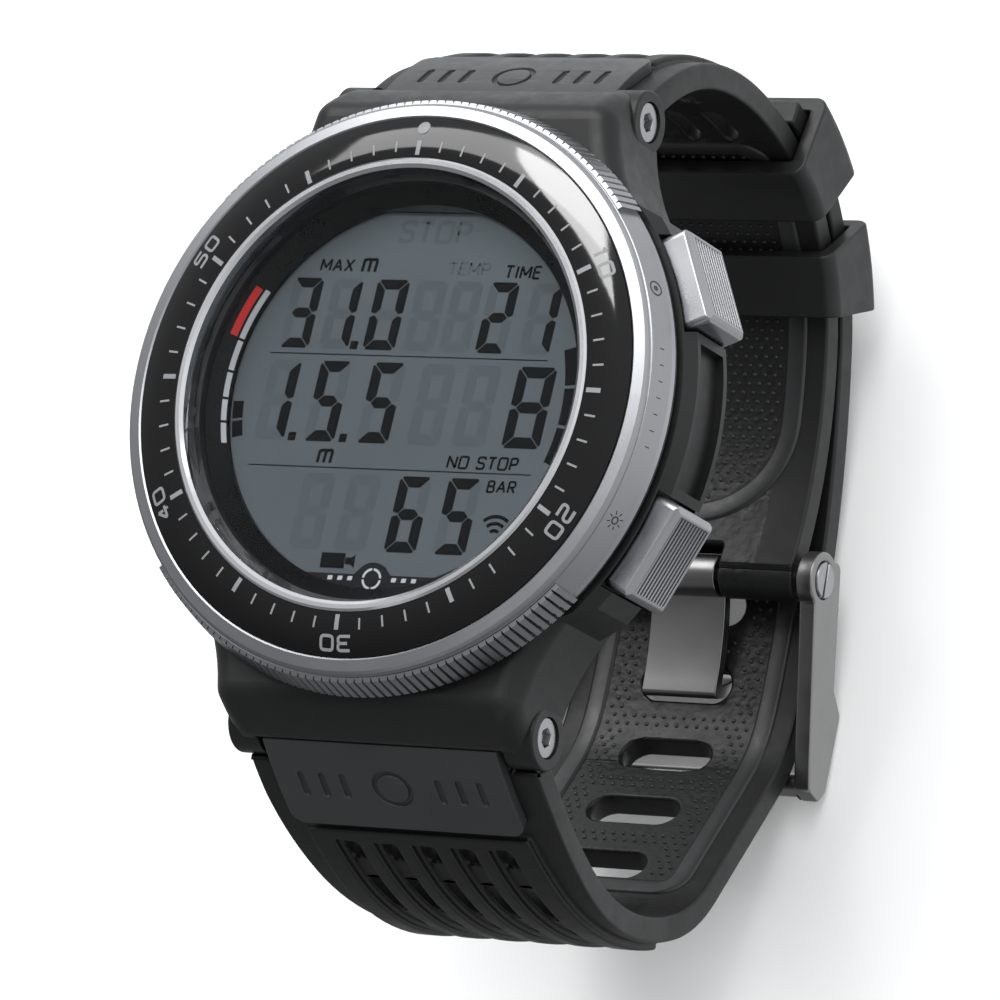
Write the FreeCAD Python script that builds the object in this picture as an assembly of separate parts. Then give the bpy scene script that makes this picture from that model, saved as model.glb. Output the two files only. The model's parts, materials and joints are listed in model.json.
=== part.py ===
"""Wrist-worn dive computer: watch case with a glass over a segment display, push buttons,
and a vented rubber strap with a tang buckle, modelled buckled as it is worn.

Row frame, millimetres: +Z out of the dial, +Y to the 12 o'clock side, +X to the 3 o'clock side.
The origin is the centre of the outer face of the case back.
"""
import FreeCAD, Part
import math
import os

V = FreeCAD.Vector
os.makedirs("parts", exist_ok=True)

# ---------------------------------------------------------------- driving dimensions
# dial stack, by height
Z_BACK_TOP = 2.2
Z_BATTERY = 3.1
BATTERY_R = 12.25
BATTERY_H = 3.0
Z_BOARD = 6.9
BOARD_T = 0.7
Z_LCD = 9.05
Z_LCD_TOP = 10.4
Z_MASK_TOP = 12.15
Z_CRYSTAL = 13.1
Z_CRYSTAL_TOP = 14.6
CRYSTAL_R = 18.5
CAVITY_R = 18.9
NECK_R = 20.5
Z_NECK = 12.8
LCD_WINDOW_R = 16.5

# bezel
BEZEL_BOTTOM = 9.5
BEZEL_R = 25.1
RING_R = 24.5
INSERT_R = 23.1
INSERT_INNER_R = 19.45
KNURL_PITCH_DEG = 1.8
KNURL_HALF_DEG = 50.0

# case body
CASE_R = 24.6
LUG_Y = 26.4
LUG_Z = 2.9
LUG_HALF = 14.3
LUG_TIP_Y = 29.2
HORN_INNER = 11.8
HORN_R = 2.7
BOSS_OUT = 14.65
EYE_R = 2.0
LUG_TUBE_R = 1.2

# push buttons
BUTTON_ANGLES = {"upper_right": 25.4, "lower_right": -25.4}
BUTTON_Z = 5.7
BUTTON_H = 6.4
BUTTON_LEN = 8.6
BUTTON_FACE = 27.7
BUTTON_UNDER = 25.0
STEM_R = 0.8
BUSH_R = 1.5
BUSH_IN = 19.2
BUSH_OUT = 22.0

# case back and battery door
BACK_R = 21.8
BACK_SCREW_RADIUS = 20.6
DOOR_R = 13.2
DOOR_NECK_R = 12.6

# strap
STRAP_T = 2.3
STRAP_HALF_LUG = 13.8
STRAP_HALF = 11.5
LAYER_GAP = 0.5
PAD_T = 1.0
RIB_T = 0.7
RIB_PITCH = 3.7
RIB_START = 9.7
RIB_END = 33.0
PAD_HALF = 11.2
SLOT_PITCH = 7.2
SLOT_HALF_X = 4.4
SLOT_W = 3.3
CORNER_R = 19.4
KEEPER_WALL = 1.45
KEEPER_GAP = 0.25

# buckle
PIN_R = 0.9
BARREL_R = 2.0
ARM_IN = 12.2
ARM_T = 1.6
HEAD_R = 1.6
HEAD_SEAT = 0.9


# ---------------------------------------------------------------- small helpers
def save(shape, node):
    shape.exportStep("parts/%s.step" % node)


def cylinder(radius, z0, z1, x=0.0, y=0.0):
    return Part.makeCylinder(radius, z1 - z0, V(x, y, z0))


def ring(outer, inner, z0, z1):
    return cylinder(outer, z0, z1).cut(cylinder(inner, z0 - 1, z1 + 1))


def box(x0, x1, y0, y1, z0, z1):
    return Part.makeBox(x1 - x0, y1 - y0, z1 - z0, V(x0, y0, z0))


def x_cylinder(radius, x0, x1, y, z):
    return Part.makeCylinder(radius, x1 - x0, V(x0, y, z), V(1, 0, 0))


def turned(points):
    """Solid of revolution about Z from (radius, height) corners."""
    outline = [V(r, 0, z) for r, z in points]
    outline.append(outline[0])
    return Part.Face(Part.makePolygon(outline)).revolve(V(0, 0, 0), V(0, 0, 1), 360)


def polar(radius, angle):
    a = math.radians(angle)
    return V(radius * math.cos(a), radius * math.sin(a), 0)


def wedge(radius, z0, z1, middle_deg, half_deg):
    """Pie slice about Z used to keep or remove one sector."""
    slice_ = Part.makeCylinder(radius, z1 - z0, V(0, 0, z0), V(0, 0, 1), 2 * half_deg)
    slice_.rotate(V(0, 0, 0), V(0, 0, 1), middle_deg - half_deg)
    return slice_


def spun(shape, angle):
    """Copy of a shape turned about Z."""
    copy = shape.copy()
    copy.rotate(V(0, 0, 0), V(0, 0, 1), angle)
    return copy


def normal(angle):
    """Outward direction in the YZ plane at a polar angle in degrees."""
    a = math.radians(angle)
    return V(0, math.cos(a), math.sin(a))


def arc_block(centre, r0, r1, a0, a1, x0, x1):
    """Piece of a tube about an X axis: radii r0..r1, angles a0..a1, from x0 to x1."""
    base = V(x0, centre.y, centre.z)
    middle = 0.5 * (a0 + a1)
    outer = Part.Arc(base + normal(a0) * r1, base + normal(middle) * r1, base + normal(a1) * r1).toShape()
    end = Part.makeLine(base + normal(a1) * r1, base + normal(a1) * r0)
    inner = Part.Arc(base + normal(a1) * r0, base + normal(middle) * r0, base + normal(a0) * r0).toShape()
    start = Part.makeLine(base + normal(a0) * r0, base + normal(a0) * r1)
    return Part.Face(Part.Wire([outer, end, inner, start])).extrude(V(x1 - x0, 0, 0))


def fused(shapes):
    body = shapes[0]
    if len(shapes) > 1:
        body = body.multiFuse(shapes[1:])
    return body.removeSplitter()


def stadium(half_x, half_y, depth):
    """Long hole cutter, longest along the larger half size, centred, running along Z."""
    r = min(half_x, half_y)
    ax = half_x - r
    ay = half_y - r
    ends = [Part.makeCylinder(r, 2 * depth, V(sx * ax, sy * ay, -depth))
            for sx, sy in ((-1, -1), (1, 1))]
    if ax > 0:
        core = box(-ax, ax, -r, r, -depth, depth)
    else:
        core = box(-r, r, -ay, ay, -depth, depth)
    return fused([core] + ends)


# ---------------------------------------------------------------- strap path
class Path:
    """Inner surface of a strap half in the YZ plane, walked from one end to the other.

    Each step is (radius, turn in degrees) for an arc, or (length, 0) for a straight stretch.
    """

    def __init__(self, point, angle, steps):
        self.pieces = []
        for size, turn in steps:
            if turn:
                centre = point - normal(angle) * size
                length = size * math.radians(turn)
                self.pieces.append((centre, size, angle, turn, length))
                angle = angle - turn
                point = centre + normal(angle) * size
            else:
                along = V(0, math.sin(math.radians(angle)), -math.cos(math.radians(angle)))
                self.pieces.append((point, along, angle, 0, size))
                point = point + along * size
        self.end = point
        self.end_angle = angle
        self.length = sum(piece[4] for piece in self.pieces)

    def at(self, s):
        """Point on the inner surface and the outward angle at a distance along the path."""
        for first, second, angle, turn, length in self.pieces:
            if s <= length or (first, second, angle, turn, length) == self.pieces[-1]:
                if turn:
                    now = angle - turn * s / length
                    return first + normal(now) * second, now
                return first + second * s, angle
            s = s - length

    def band(self, s0, s1, low, high, half):
        """Solid strip between two distances, low to high above the inner surface."""
        parts = []
        start = 0.0
        for first, second, angle, turn, length in self.pieces:
            a = max(s0 - start, 0.0)
            b = min(s1 - start, length)
            start = start + length
            if b - a < 1e-6:
                continue
            if turn:
                parts.append(arc_block(first, second + low, second + high, angle - turn * a / length,
                                       angle - turn * b / length, -half, half))
            else:
                corner = [first + second * a + normal(angle) * low, first + second * b + normal(angle) * low,
                          first + second * b + normal(angle) * high, first + second * a + normal(angle) * high]
                corner.append(corner[0])
                strip = Part.Face(Part.makePolygon(corner)).extrude(V(2 * half, 0, 0))
                strip.translate(V(-half, 0, 0))
                parts.append(strip)
        return fused(parts)

    def put(self, shape, s, x=0.0, lift=0.0):
        """Move a shape built about the origin, Z up, onto the inner surface."""
        point, angle = self.at(s)
        placed = shape.copy()
        placed.rotate(V(0, 0, 0), V(1, 0, 0), angle - 90)
        placed.translate(point + normal(angle) * lift + V(x, 0, 0))
        return placed


PATH_12 = Path(V(0, 24.5, 2.7), 56, [(21.7, 44), (33.77, 24), (CORNER_R, 63), (40.0, 29.5)])
CORNER = PATH_12.pieces[2][0]
BACK_CENTRE = PATH_12.pieces[3][0]
TAIL_R = CORNER_R + STRAP_T + LAYER_GAP
TAIL_START = -16.0
PATH_6 = Path(CORNER + normal(TAIL_START) * TAIL_R, TAIL_START,
              [(TAIL_R, 59), (90.0, 21), (14.0, 30.5), (14.0, 0), (11.0, 33.5), (26.0, 40), (42.0, 22.5)])
PIN = BACK_CENTRE + normal(-104.5) * 42.2


# ---------------------------------------------------------------- case
def button_pocket():
    """Opening for one button along +X: cap pocket, spring well, bushing seat."""
    pocket = box(23.8, 30, -BUTTON_LEN / 2 - 0.25, BUTTON_LEN / 2 + 0.25, -BUTTON_H / 2 - 0.25, BUTTON_H / 2 + 0.25)
    well = Part.makeCylinder(1.9, 4, V(BUSH_OUT, 0, 0), V(1, 0, 0))
    seat = Part.makeCylinder(BUSH_R, 6, V(17, 0, 0), V(1, 0, 0))
    return fused([pocket, well, seat])


def side_boss():
    """Thicker flank on the +X side that carries the buttons, with a framed panel between them."""
    flank = turned([(20, 1.6), (24.6, 1.6), (26.2, 3.0), (26.2, 8.2), (25.4, 9.3), (20, 9.3)])
    plan = [polar(24.2, -50), polar(26.4, -38.5), polar(34, -20), polar(34, 20), polar(26.4, 38.5), polar(24.2, 50)]
    flank = flank.common(Part.Face(Part.makePolygon([V(0, 0, 0)] + plan + [V(0, 0, 0)])).extrude(V(0, 0, 12)))
    panel = ring(30, 25.5, 3.6, 7.7).common(wedge(31, 0, 12, 0, 13.5))
    return flank.cut(panel)


def lug_plan(side):
    """Plan of the hull toward a lug: flares hollow from the round case and rounds off at the lug corners."""
    round_r = 1.4
    end = LUG_TIP_Y - round_r
    flare_r = (LUG_HALF ** 2 + end ** 2 - CASE_R ** 2) / (2 * (CASE_R - LUG_HALF))
    edges = []
    tangents = []
    for sx in (-1, 1):
        centre = V(sx * (LUG_HALF + flare_r), side * end, 0)
        tangent = centre * (CASE_R / centre.Length)
        middle = centre + (tangent - centre + V(-sx * flare_r, 0, 0)).normalize() * flare_r
        lug_side = V(sx * LUG_HALF, side * end, 0)
        edges.append(Part.Arc(tangent, middle, lug_side).toShape())
        corner = V(sx * (LUG_HALF - round_r), side * end, 0)
        knee = corner + V(sx, side, 0).normalize() * round_r
        tip = V(sx * (LUG_HALF - round_r), side * LUG_TIP_Y, 0)
        edges.append(Part.Arc(lug_side, knee, tip).toShape())
        edges.append(Part.makeLine(V(0, side * 12, 0), tangent))
        tangents.append(tip)
    edges.append(Part.makeLine(tangents[0], tangents[1]))
    return Part.Face(Part.Wire(Part.__sortEdges__(edges))).extrude(V(0, 0, 12))


def lug_block(side):
    """Hood over the strap end with a horn at each side of the strap eye; side is +1 or -1 along Y."""
    outline = [(25.4, 9.5), (15, 9.5), (15, 1.0), (24.4, 1.0), (LUG_Y, LUG_Z), (29.05, LUG_Z + 0.3)]
    corners = [V(-20, side * y, z) for y, z in outline]
    hood = Part.Arc(corners[-1], V(-20, side * 27.65, 6.6), corners[0]).toShape()
    block = Part.Face(Part.Wire(Part.makePolygon(corners).Edges + [hood])).extrude(V(40, 0, 0))
    block = block.common(lug_plan(side))
    shoulders = [e for e in block.Edges
                 if min(abs(v.X) for v in e.Vertexes) > 10.5 and min(v.Z for v in e.Vertexes) > LUG_Z + 0.2
                 and abs(e.tangentAt(e.FirstParameter).z) < 0.999]
    block = block.makeFillet(2.0, shoulders)
    horns = x_cylinder(HORN_R, -BOSS_OUT, BOSS_OUT, side * LUG_Y, LUG_Z)
    horns = horns.makeFillet(0.2, [e for e in horns.Edges if e.Closed])
    block = fused([block, horns])
    gap_r = EYE_R + 0.3
    y0 = min(side * LUG_Y, side * (LUG_Y + 4))
    gap = [x_cylinder(gap_r, -HORN_INNER, HORN_INNER, side * LUG_Y, LUG_Z),
           box(-HORN_INNER, HORN_INNER, y0, y0 + 4, LUG_Z - 4, LUG_Z + 2.5)]
    y0 = min(side * (LUG_Y - gap_r), side * LUG_Y)
    gap.append(box(-HORN_INNER, HORN_INNER, y0, y0 + gap_r, LUG_Z - 4, LUG_Z))
    block = block.cut(fused(gap))
    for sx in (-1, 1):
        x0 = min(sx * 10, sx * 20)
        block = block.cut(x_cylinder(1.0, x0, x0 + 10, side * LUG_Y, LUG_Z))
        x0 = min(sx * 13.1, sx * 20)
        block = block.cut(x_cylinder(1.75, x0, x0 + 6.9, side * LUG_Y, LUG_Z))
    return block


def case_body():
    shell = turned([(15, 0.6), (23.2, 0.6), (24.3, 2.2), (CASE_R, 6), (CASE_R, 9.45), (NECK_R, 9.45),
                    (NECK_R, Z_NECK), (15, Z_NECK)])
    body = fused([shell, side_boss(), lug_block(1), lug_block(-1)])
    cavity = fused([cylinder(CAVITY_R, -1, 12.2), cylinder(17.95, 12, 14), cylinder(BACK_R + 0.1, -1, Z_BACK_TOP)])
    body = body.cut(cavity)
    for angle in BUTTON_ANGLES.values():
        pocket = button_pocket()
        pocket.translate(V(0, 0, BUTTON_Z))
        body = body.cut(spun(pocket, angle))
    for i in range(4):
        hole = cylinder(0.75, 2, 6.0, BACK_SCREW_RADIUS, 0)
        body = body.cut(spun(hole, 45 + 90 * i))
    return body


def case_back():
    plate = cylinder(BACK_R, 0, Z_BACK_TOP)
    plate = plate.cut(cylinder(DOOR_R + 0.1, -1, 1.25))
    plate = plate.cut(cylinder(DOOR_NECK_R + 0.1, -1, 4))
    plate = plate.cut(ring(19.9, 19.1, 1.8, 4))
    plate = plate.cut(cylinder(0.9, -1, 4, 0, -15.6))
    for i in range(3):
        notch = ring(13.2, 10, 1, 4).common(wedge(15, 0, 5, 60 + 120 * i, 11))
        plate = plate.cut(notch)
    for i in range(4):
        hole = cylinder(0.8, -1, 4, BACK_SCREW_RADIUS, 0).fuse(cylinder(1.15, -1, 0.9, BACK_SCREW_RADIUS, 0))
        plate = plate.cut(spun(hole, 45 + 90 * i))
    return plate.removeSplitter()


def case_back_screws():
    screws = []
    for i in range(4):
        screw = fused([cylinder(1.1, 0.1, 0.9, BACK_SCREW_RADIUS, 0), cylinder(0.75, 0.9, 5.5, BACK_SCREW_RADIUS, 0)])
        slot_a = box(BACK_SCREW_RADIUS - 0.8, BACK_SCREW_RADIUS + 0.8, -0.15, 0.15, -1, 0.45)
        slot_b = box(BACK_SCREW_RADIUS - 0.15, BACK_SCREW_RADIUS + 0.15, -0.8, 0.8, -1, 0.45)
        screws.append(spun(screw.cut(slot_a).cut(slot_b), 45 + 90 * i))
    return Part.makeCompound(screws)


def battery_door():
    door = fused([cylinder(DOOR_R, 0.1, 1.0), cylinder(DOOR_NECK_R, 1.0, 2.9)])
    door = door.cut(cylinder(11.6, 1.8, 4))
    lugs = [ring(13.1, 12.0, 2.3, 2.9).common(wedge(15, 0, 5, 120 * i, 8)) for i in range(3)]
    door = fused([door] + lugs)
    coin = box(-7.5, 7.5, -0.9, 0.9, -1, 1.1)
    return door.cut(coin)


# ---------------------------------------------------------------- inside the case
def movement_frame():
    tray = ring(17.7, 13.3, Z_BACK_TOP + 0.05, 4.7)
    posts = []
    for angle in (60, 120, 240, 300):
        a = math.radians(angle)
        posts.append(cylinder(1.2, 4.5, Z_BOARD, 15.5 * math.cos(a), 15.5 * math.sin(a)))
    tray = fused([tray] + posts)
    tray = tray.cut(cylinder(2.0, 0, 6, 0, -15.6))
    return tray.cut(cylinder(2.0, 0, 6, 0, 15.6))


def battery():
    can = cylinder(BATTERY_R, Z_BATTERY, Z_BATTERY + 2.6)
    cap = cylinder(BATTERY_R - 1.0, Z_BATTERY + 2.6, Z_BATTERY + BATTERY_H)
    return fused([can, cap])


def battery_contact():
    base = box(-9, 9, -1.6, 1.6, 6.5, 6.75)
    fingers = [box(sx * 6 - 1.2, sx * 6 + 1.2, -1.0, 1.0, 6.1, 6.6) for sx in (-1, 1)]
    tabs = [box(sx * 8 - 0.6, sx * 8 + 0.6, -1.6, 1.6, 6.6, Z_BOARD) for sx in (-1, 1)]
    return fused([base] + fingers + tabs)


def circuit_board():
    board = cylinder(17.2, Z_BOARD, Z_BOARD + BOARD_T)
    for angle in (60, 120, 240, 300):
        a = math.radians(angle)
        board = board.cut(cylinder(0.5, 0, 9, 15.5 * math.cos(a), 15.5 * math.sin(a)))
    return board


def board_screws():
    screws = []
    for angle in (60, 120, 240, 300):
        a = math.radians(angle)
        x = 15.5 * math.cos(a)
        y = 15.5 * math.sin(a)
        z = Z_BOARD + BOARD_T
        screws.append(fused([cylinder(0.95, z, z + 0.5, x, y), cylinder(0.5, Z_BOARD, z, x, y)]))
    return Part.makeCompound(screws)


def key_switches():
    switches = []
    for angle in BUTTON_ANGLES.values():
        case = box(14.6, 16.9, -1.6, 1.6, 4.8, Z_BOARD)
        plunger = Part.makeCylinder(0.45, 0.75, V(16.8, 0, BUTTON_Z), V(1, 0, 0))
        switches.append(spun(fused([case, plunger]), angle))
    return Part.makeCompound(switches)


def elastomer_connectors():
    z = Z_BOARD + BOARD_T
    return Part.makeCompound([box(-6.4, 6.4, sy * 13.2 - 0.8, sy * 13.2 + 0.8, z, Z_LCD) for sy in (-1, 1)])


def lcd_panel():
    glass = cylinder(17.4, Z_LCD, Z_LCD_TOP)
    return glass.cut(box(-20, 20, 17.0, 20, 0, 20)).cut(box(-20, 20, -20, -17.0, 0, 20))


def dial_mask():
    """Black flange between the display and the glass, with a straight upper edge in its window."""
    flange = turned([(LCD_WINDOW_R, Z_LCD_TOP + 0.05), (18.8, Z_LCD_TOP + 0.05), (18.8, Z_MASK_TOP),
                     (17.9, Z_MASK_TOP), (LCD_WINDOW_R, 10.9)])
    brow = cylinder(17.2, Z_LCD_TOP + 0.05, 10.9).cut(box(-20, 20, -20, 15.9, 0, 20))
    return fused([flange, brow])


# ---------------------------------------------------------------- bezel
def bezel_ring():
    body = turned([(NECK_R + 0.05, BEZEL_BOTTOM), (24.5, BEZEL_BOTTOM), (25.05, 9.75), (25.1, 10.1),
                   (24.85, 10.35), (24.85, 10.6), (BEZEL_R, 10.75), (24.5, 13.05), (24.3, 13.15), (24.3, 13.25),
                   (RING_R, 13.35), (24.42, 13.6), (24.2, 13.78), (23.3, 13.98), (INSERT_R + 0.05, 13.9),
                   (INSERT_R + 0.05, 13.2), (NECK_R + 0.05, 13.2)])
    collar = turned([(24.0, 10.2), (25.4, 10.2), (25.55, 10.4), (25.45, 10.9), (24.95, 12.95), (24.6, 13.05),
                     (24.0, 13.05)])
    teeth = int(2 * KNURL_HALF_DEG / KNURL_PITCH_DEG)
    groove = Part.Face(Part.makePolygon([V(26.4, -0.4, 10.0), V(25.15, 0, 10.0), V(26.4, 0.4, 10.0),
                                         V(26.4, -0.4, 10.0)])).extrude(V(-0.62, 0, 3.4))
    sectors = []
    for middle in (90, 270):
        sector = collar.common(wedge(30, 9, 14, middle, KNURL_HALF_DEG))
        first = middle - KNURL_PITCH_DEG * (teeth - 1) / 2
        cuts = [spun(groove, first + KNURL_PITCH_DEG * i) for i in range(teeth)]
        sectors.append(sector.cut(Part.makeCompound(cuts)))
    return fused([body] + sectors)


def bezel_insert():
    """Domed ring carrying the minute scale."""
    start = V(INSERT_INNER_R, 0, 14.72)
    end = V(INSERT_R, 0, 13.95)
    crown = Part.Arc(start, V(21.4, 0, 14.52), end).toShape()
    floor_out = V(INSERT_R, 0, 13.25)
    floor_in = V(INSERT_INNER_R, 0, 13.25)
    edges = [crown, Part.makeLine(end, floor_out), Part.makeLine(floor_out, floor_in), Part.makeLine(floor_in, start)]
    return Part.Face(Part.Wire(edges)).revolve(V(0, 0, 0), V(0, 0, 1), 360)


def inner_ring():
    """Polished ring that holds the glass."""
    return turned([(CRYSTAL_R + 0.05, Z_NECK), (19.4, Z_NECK), (19.4, 14.75), (19.2, 14.92), (18.85, 14.92),
                   (CRYSTAL_R + 0.05, 14.7)])


def crystal():
    return turned([(0, Z_CRYSTAL), (CRYSTAL_R, Z_CRYSTAL), (CRYSTAL_R, 14.45), (18.3, Z_CRYSTAL_TOP),
                   (0, Z_CRYSTAL_TOP)])


# ---------------------------------------------------------------- buttons
def button_cap():
    """Metal cap along +X: chamfered block with a ribbed outer face and a stem socket."""
    half = BUTTON_LEN / 2
    tall = BUTTON_H / 2
    block = box(BUTTON_UNDER, BUTTON_FACE, -half, half, -tall, tall)
    rims = [edge for edge in block.Edges if min(v.X for v in edge.Vertexes) > BUTTON_FACE - 0.01]
    block = block.makeChamfer(0.5, rims)
    pillars = [edge for edge in block.Edges
               if abs(edge.Vertexes[0].X - edge.Vertexes[1].X) > 1.5]
    block = block.makeFillet(0.6, pillars)
    rim = 0.75
    frame = box(BUTTON_FACE - 0.35, BUTTON_FACE + 1, rim - half, half - rim, rim - tall, tall - rim)
    block = block.cut(frame)
    ribs = []
    count = 10
    pitch = (BUTTON_H - 2 * rim) / count
    for i in range(count):
        z = rim - tall + pitch * (i + 0.5)
        ribs.append(box(BUTTON_FACE - 0.4, BUTTON_FACE - 0.05, rim - half, half - rim, z - 0.1, z + 0.1))
    block = fused([block] + ribs)
    return block.cut(Part.makeCylinder(STEM_R, 1.6, V(BUTTON_UNDER - 0.1, 0, 0), V(1, 0, 0)))


def button_stem():
    """Push rod with its retaining clip."""
    rod = Part.makeCylinder(STEM_R, BUTTON_UNDER + 1.5 - 18.6, V(18.6, 0, 0), V(1, 0, 0))
    clip = Part.makeCylinder(1.3, 0.25, V(18.85, 0, 0), V(1, 0, 0))
    return fused([rod, clip])


def button_bushing():
    """Steel sleeve in the case wall with two seal grooves."""
    length = BUSH_OUT - BUSH_IN
    sleeve = Part.makeCylinder(BUSH_R, length, V(BUSH_IN, 0, 0), V(1, 0, 0))
    sleeve = sleeve.cut(Part.makeCylinder(STEM_R + 0.04, length + 2, V(BUSH_IN - 1, 0, 0), V(1, 0, 0)))
    for x in (BUSH_IN + 0.6, BUSH_IN + 1.6):
        sleeve = sleeve.cut(Part.makeCylinder(1.36, 0.58, V(x, 0, 0), V(1, 0, 0)))
    return sleeve


def button_seals():
    """Two O-rings in the sleeve grooves."""
    rings = []
    for x in (BUSH_IN + 0.89, BUSH_IN + 1.89):
        rings.append(Part.makeTorus(1.09, 0.26, V(x, 0, 0), V(1, 0, 0)))
    return Part.makeCompound(rings)


def button_spring():
    """Return spring around the rod, between sleeve and cap."""
    wire = 0.16
    turns = 4
    height = BUTTON_UNDER - BUSH_OUT - 0.06 - 2 * wire
    helix = Part.makeLongHelix(height / turns, height, 1.35)
    section = Part.Wire(Part.makeCircle(wire, V(1.35, 0, 0), V(0, 1, 0)))
    coil = Part.Wire(helix.Edges).makePipeShell([section], True, True)
    coil.rotate(V(0, 0, 0), V(0, 1, 0), 90)
    coil.translate(V(BUSH_OUT + 0.03 + wire, 0, 0))
    return coil


# ---------------------------------------------------------------- strap
def planform(path_half):
    """Cutter seen along Y: wide at the lugs, narrowing to the buckle width."""
    shoulder = [V(path_half, -90, -28), V(path_half + 0.6, -90, -20), V(STRAP_HALF_LUG - 0.5, -90, -8),
                V(STRAP_HALF_LUG, -90, -1)]
    right = Part.BSplineCurve()
    right.interpolate(shoulder)
    left = Part.BSplineCurve()
    left.interpolate([V(-p.x, p.y, p.z) for p in reversed(shoulder)])
    top = Part.makePolygon([shoulder[-1], V(STRAP_HALF_LUG, -90, 12), V(-STRAP_HALF_LUG, -90, 12),
                            V(-STRAP_HALF_LUG, -90, -1)])
    bottom = Part.makePolygon([V(-path_half, -90, -28), V(-path_half, -90, -70), V(path_half, -90, -70),
                               shoulder[0]])
    edges = [right.toShape()] + top.Edges + [left.toShape()] + bottom.Edges
    return Part.Face(Part.Wire(Part.__sortEdges__(edges))).extrude(V(0, 180, 0))


def vents(path, lug_end):
    """Cutters for the vented zone next to a pad, measured from the lug end of the path."""
    cutters = []

    def place(shape, s, x, lift=0.0):
        distance = s if lug_end == 0 else path.length - s
        cutters.append(path.put(shape, distance, x, lift))

    for i in range(5):
        x = RIB_PITCH * (i - 2)
        place(stadium(0.85, 1.4, 8), 12.4, x)
        place(stadium(0.8, 3.2, 8), 19.4, x)
        place(stadium(0.75, 3.0, 8), 28.0, x)
    return cutters


def ribs(path, lug_end):
    """Raised zone of long ribs between the vent columns."""
    s0 = RIB_START if lug_end == 0 else path.length - RIB_END
    s1 = RIB_END if lug_end == 0 else path.length - RIB_START
    zone = path.band(s0, s1, STRAP_T - 0.1, STRAP_T + RIB_T, 2.9 * RIB_PITCH)
    head = 1.2 if lug_end == 0 else 0.0
    foot = 0.0 if lug_end == 0 else 1.2
    for i in range(5):
        groove = path.band(s0 + head, s1 - foot, STRAP_T, STRAP_T + 2, 1.1)
        groove.translate(V(RIB_PITCH * (i - 2), 0, 0))
        zone = zone.cut(groove)
    return zone


def eye(side):
    """Rounded end of a strap half around the lug tube."""
    return x_cylinder(EYE_R, -11.5, 11.5, side * LUG_Y, LUG_Z)


def horn_clearance(side):
    """Room for the horns beside the eye."""
    cutters = []
    for sx in (-1, 1):
        x0 = min(sx * 11.5, sx * 15.5)
        cutters.append(x_cylinder(HORN_R + 0.25, x0, x0 + 4, side * LUG_Y, LUG_Z))
        y0 = min(side * 15, side * 34)
        cutters.append(box(x0, x0 + 4, y0, y0 + 19, LUG_Z - 0.5, 12))
    return cutters


def strap_half(path, side, lug_end):
    """Band, eye and vents of one strap half, without its buckle features."""
    band = path.band(0, path.length, 0, STRAP_T, 16)
    band = band.common(planform(STRAP_HALF))
    band = band.cut(fused(horn_clearance(side)))
    body = fused([band, eye(side), ribs(path, lug_end)])
    body = body.cut(x_cylinder(LUG_TUBE_R + 0.03, -20, 20, side * LUG_Y, LUG_Z))
    for cutter in vents(path, lug_end):
        body = body.cut(cutter)
    return body


def strap_12():
    body = strap_half(PATH_12, 1, 0)
    barrel = x_cylinder(BARREL_R, -STRAP_HALF, STRAP_HALF, PIN.y, PIN.z)
    body = fused([body, barrel])
    body = body.cut(x_cylinder(PIN_R, -20, 20, PIN.y, PIN.z))
    notch = box(-4.1, 4.1, PIN.y - 3, PIN.y + 2.6, PIN.z - 4, PIN.z + 4)
    return body.cut(notch)


def tongue_slot_distance():
    """Path distance of the slot the tongue is in."""
    return PATH_6.pieces[0][4] + 90.0 * math.radians(19.8)


def strap_6():
    body = strap_half(PATH_6, -1, 1)
    first = tongue_slot_distance()
    for i in range(-4, 5):
        body = body.cut(PATH_6.put(stadium(SLOT_HALF_X, SLOT_W / 2, 8), first + SLOT_PITCH * i))
    return body


def pad(path, lug_end, s0, s1):
    """Raised name plate on the strap next to the lugs, plain but for a disc and short grooves."""
    if lug_end == 0:
        plate = path.band(s0, s1, STRAP_T, STRAP_T + PAD_T, PAD_HALF)
    else:
        plate = path.band(path.length - s1, path.length - s0, STRAP_T, STRAP_T + PAD_T, PAD_HALF)
    upright = [e for e in plate.Edges
               if abs(e.Length - PAD_T) < 0.05 and min(abs(v.X) for v in e.Vertexes) > PAD_HALF - 0.1]
    upright.sort(key=lambda e: e.CenterOfMass.z)
    upright = upright[:2]
    plate = plate.makeFillet(1.3, upright)
    side = 1 if lug_end == 0 else -1
    plate = plate.cut(x_cylinder(EYE_R + 0.02, -16, 16, side * LUG_Y, LUG_Z))
    middle = 0.5 * (s0 + s1)
    distance = middle if lug_end == 0 else path.length - middle
    lift = STRAP_T + PAD_T - 0.3
    disc = path.put(cylinder(1.9, 0, 2).cut(cylinder(1.45, -1, 3)), distance, 0, lift)
    plate = plate.cut(disc)
    for x in (-8.6, -6.6, -4.6, 4.6, 6.6, 8.6):
        mark = stadium(0.32, 1.3, 1.0)
        mark.translate(V(0, 0, 1.0))
        plate = plate.cut(path.put(mark, distance, x, lift))
    return plate


def keeper(a0, a1):
    """Free loop round both strap layers."""
    inner = CORNER_R - KEEPER_GAP
    outer = TAIL_R + STRAP_T + KEEPER_GAP
    half = STRAP_HALF + KEEPER_GAP
    hole = arc_block(CORNER, inner, outer, a0 - 5, a1 + 5, -half, half)
    body = arc_block(CORNER, inner - KEEPER_WALL, outer + KEEPER_WALL, a0, a1, -half - KEEPER_WALL, half + KEEPER_WALL)
    long_edges = [e for e in body.Edges if e.Curve.TypeId == "Part::GeomCircle"]
    body = body.makeFillet(1.3, long_edges)
    return body.cut(hole)


# ---------------------------------------------------------------- lug hardware and buckle
def lug_tube(side):
    tube = x_cylinder(LUG_TUBE_R, -11.7, 11.7, side * LUG_Y, LUG_Z)
    return tube.cut(x_cylinder(0.7, -13, 13, side * LUG_Y, LUG_Z))


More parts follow.
